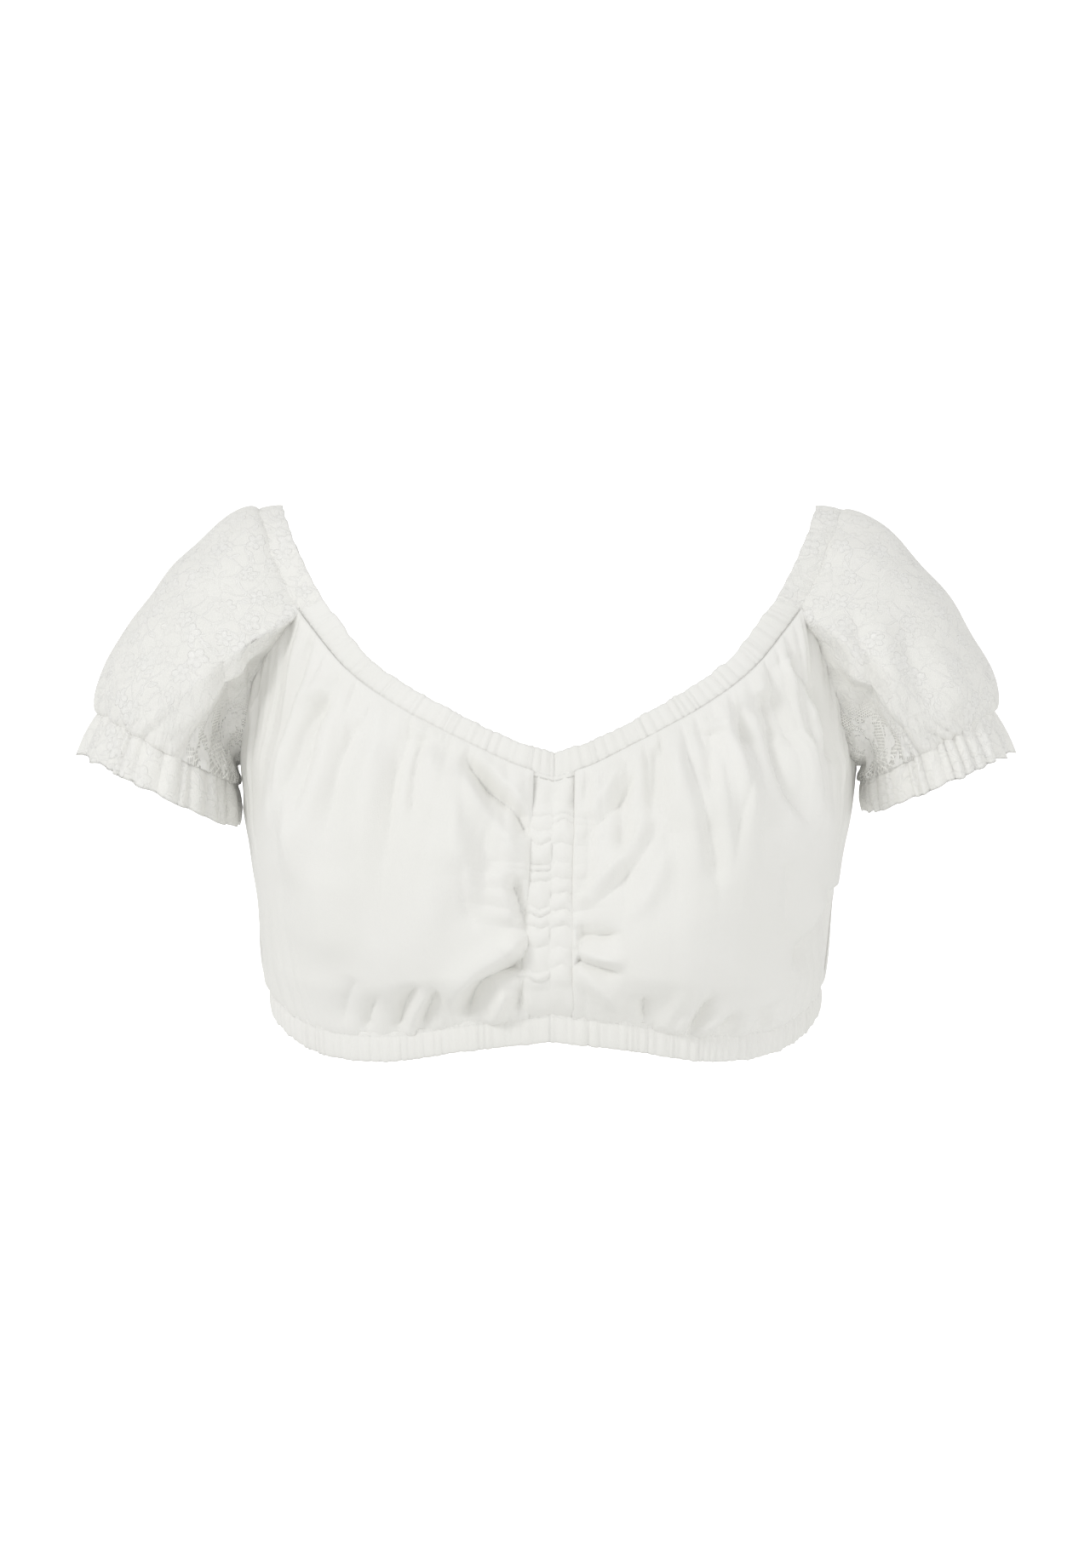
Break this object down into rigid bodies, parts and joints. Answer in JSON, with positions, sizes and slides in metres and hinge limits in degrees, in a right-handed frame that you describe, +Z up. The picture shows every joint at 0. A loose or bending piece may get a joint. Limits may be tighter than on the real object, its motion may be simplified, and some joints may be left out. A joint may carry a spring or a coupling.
{
  "type": "dirndl blouse",
  "caption": "Cropped dirndl blouse as worn, hollow: plain cotton body gathered on elastic at neck and hem, ruched centre front, and short puffed raglan sleeves of floral lace.",
  "frame": {"origin": "midway between the two highest points of the neck edge, where the wearer's shoulders hold the blouse up", "axes": "+X to the right as seen from the front, along the longest extent; -Y is the front; +Z up"},
  "size_m": [0.5022, 0.2219, 0.297],
  "materials": {
    "cotton": "off-white plain weave, matt",
    "lace": "off-white floral lace on fine net, glossy threads"
  },
  "bodies": {
    "root": {"front_left": "cotton", "front_right": "cotton", "centre_casing": "cotton", "back": "cotton", "sleeve_left": "lace", "sleeve_right": "lace", "neck_casing": "cotton", "hem_casing": "cotton", "cuff_left": "lace", "cuff_right": "lace"}
  },
  "joints": []
}
